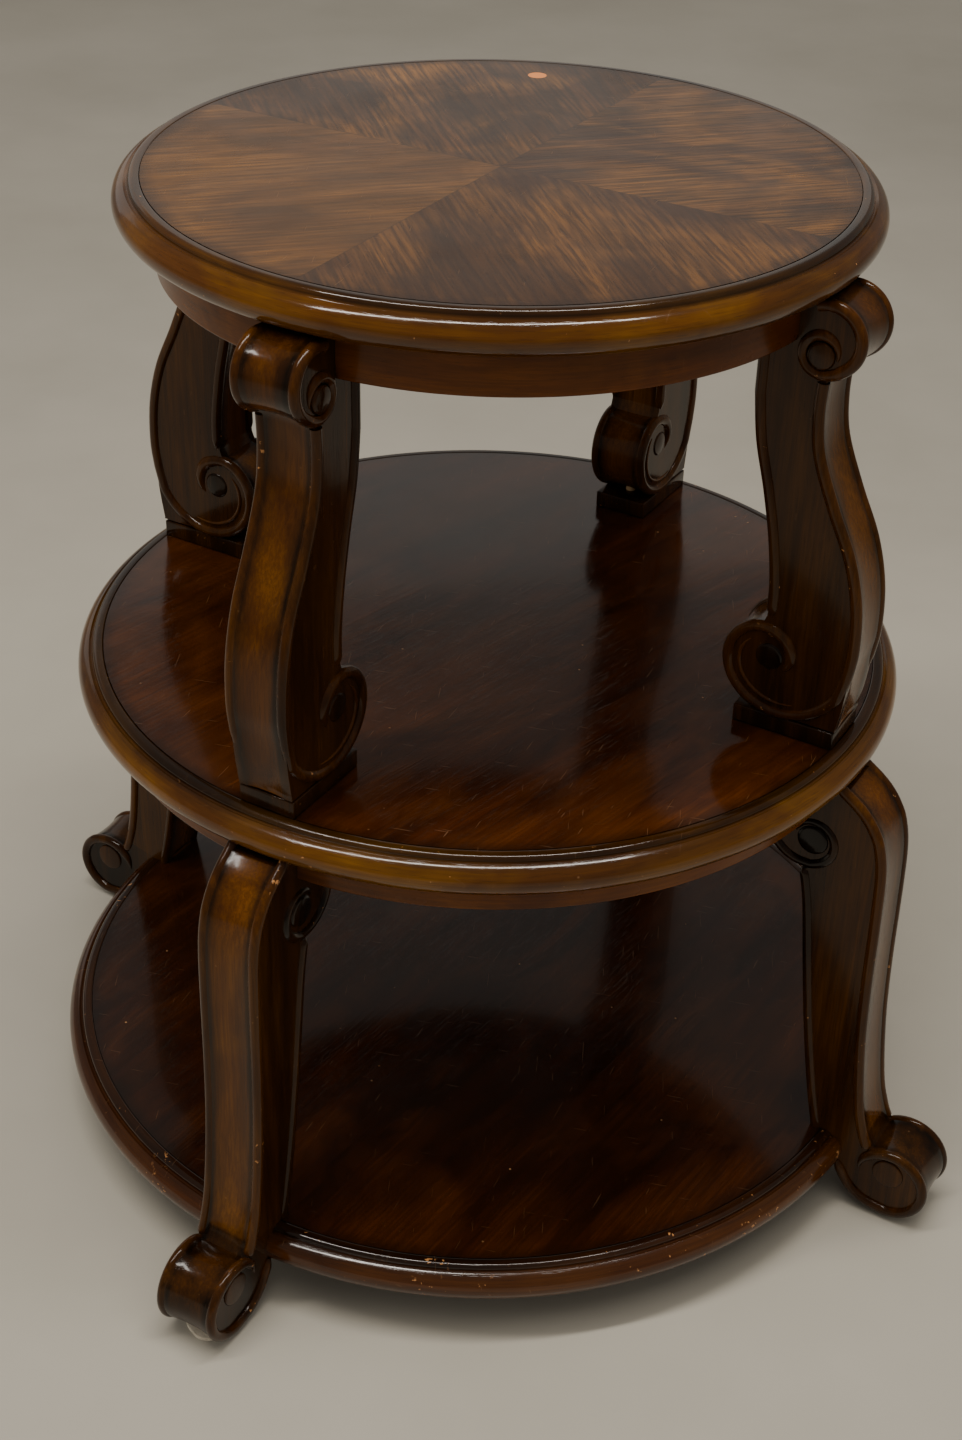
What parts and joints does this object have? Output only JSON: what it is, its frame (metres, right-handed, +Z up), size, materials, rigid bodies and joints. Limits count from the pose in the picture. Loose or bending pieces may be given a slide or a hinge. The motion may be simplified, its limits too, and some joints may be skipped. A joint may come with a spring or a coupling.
{
  "type": "tiered side table",
  "caption": "Round tiered side table: moulded top over two wider shelves, joined by scroll legs above and scroll-footed legs below, in dark glossy wood.",
  "frame": {"origin": "centre of the table on the floor, under the foot pads", "axes": "+Z up; front towards -Y; the legs stand on the diagonals between the X and Y axes"},
  "size_m": [0.67, 0.6698, 0.744],
  "materials": {
    "veneer": "dark mahogany veneer under gloss lacquer",
    "moulding": "solid wood, amber-brown stain under gloss lacquer",
    "apron_wood": "brown stain under gloss lacquer",
    "carved_wood": "carved wood, dark glaze in the hollows, gloss lacquer, worn edges",
    "block_wood": "bare softwood",
    "dowel_wood": "bare beech",
    "steel": "zinc plated",
    "screw_steel": "yellow zinc plated",
    "felt": "pressed felt"
  },
  "bodies": {
    "root": {"top_panel": "veneer", "top_rim": "moulding", "apron_front": "apron_wood", "apron_right": "apron_wood", "apron_back": "apron_wood", "apron_left": "apron_wood", "upper_leg_front_left": "carved_wood", "upper_leg_front_right": "carved_wood", "upper_leg_back_right": "carved_wood", "upper_leg_back_left": "carved_wood", "plinth_front_left": "carved_wood", "plinth_front_right": "carved_wood", "plinth_back_right": "carved_wood", "plinth_back_left": "carved_wood", "middle_panel": "veneer", "middle_rim": "moulding", "rail_front": "apron_wood", "rail_right": "apron_wood", "rail_back": "apron_wood", "rail_left": "apron_wood", "lower_leg_front_left": "carved_wood", "lower_leg_front_right": "carved_wood", "lower_leg_back_right": "carved_wood", "lower_leg_back_left": "carved_wood", "bottom_panel": "veneer", "bottom_rim": "moulding", "foot_pad_front_left": "felt", "foot_pad_front_right": "felt", "foot_pad_back_right": "felt", "foot_pad_back_left": "felt", "corner_block_front_left": "block_wood", "corner_block_front_right": "block_wood", "corner_block_back_right": "block_wood", "corner_block_back_left": "block_wood", "hanger_bolts": "steel", "block_washers": "steel", "block_nuts": "steel", "block_screws": "screw_steel", "apron_dowels": "dowel_wood", "rail_dowels": "dowel_wood", "leg_rods": "steel", "plinth_dowels": "dowel_wood", "shelf_dowels": "dowel_wood", "pad_nails": "steel"}
  },
  "joints": []
}
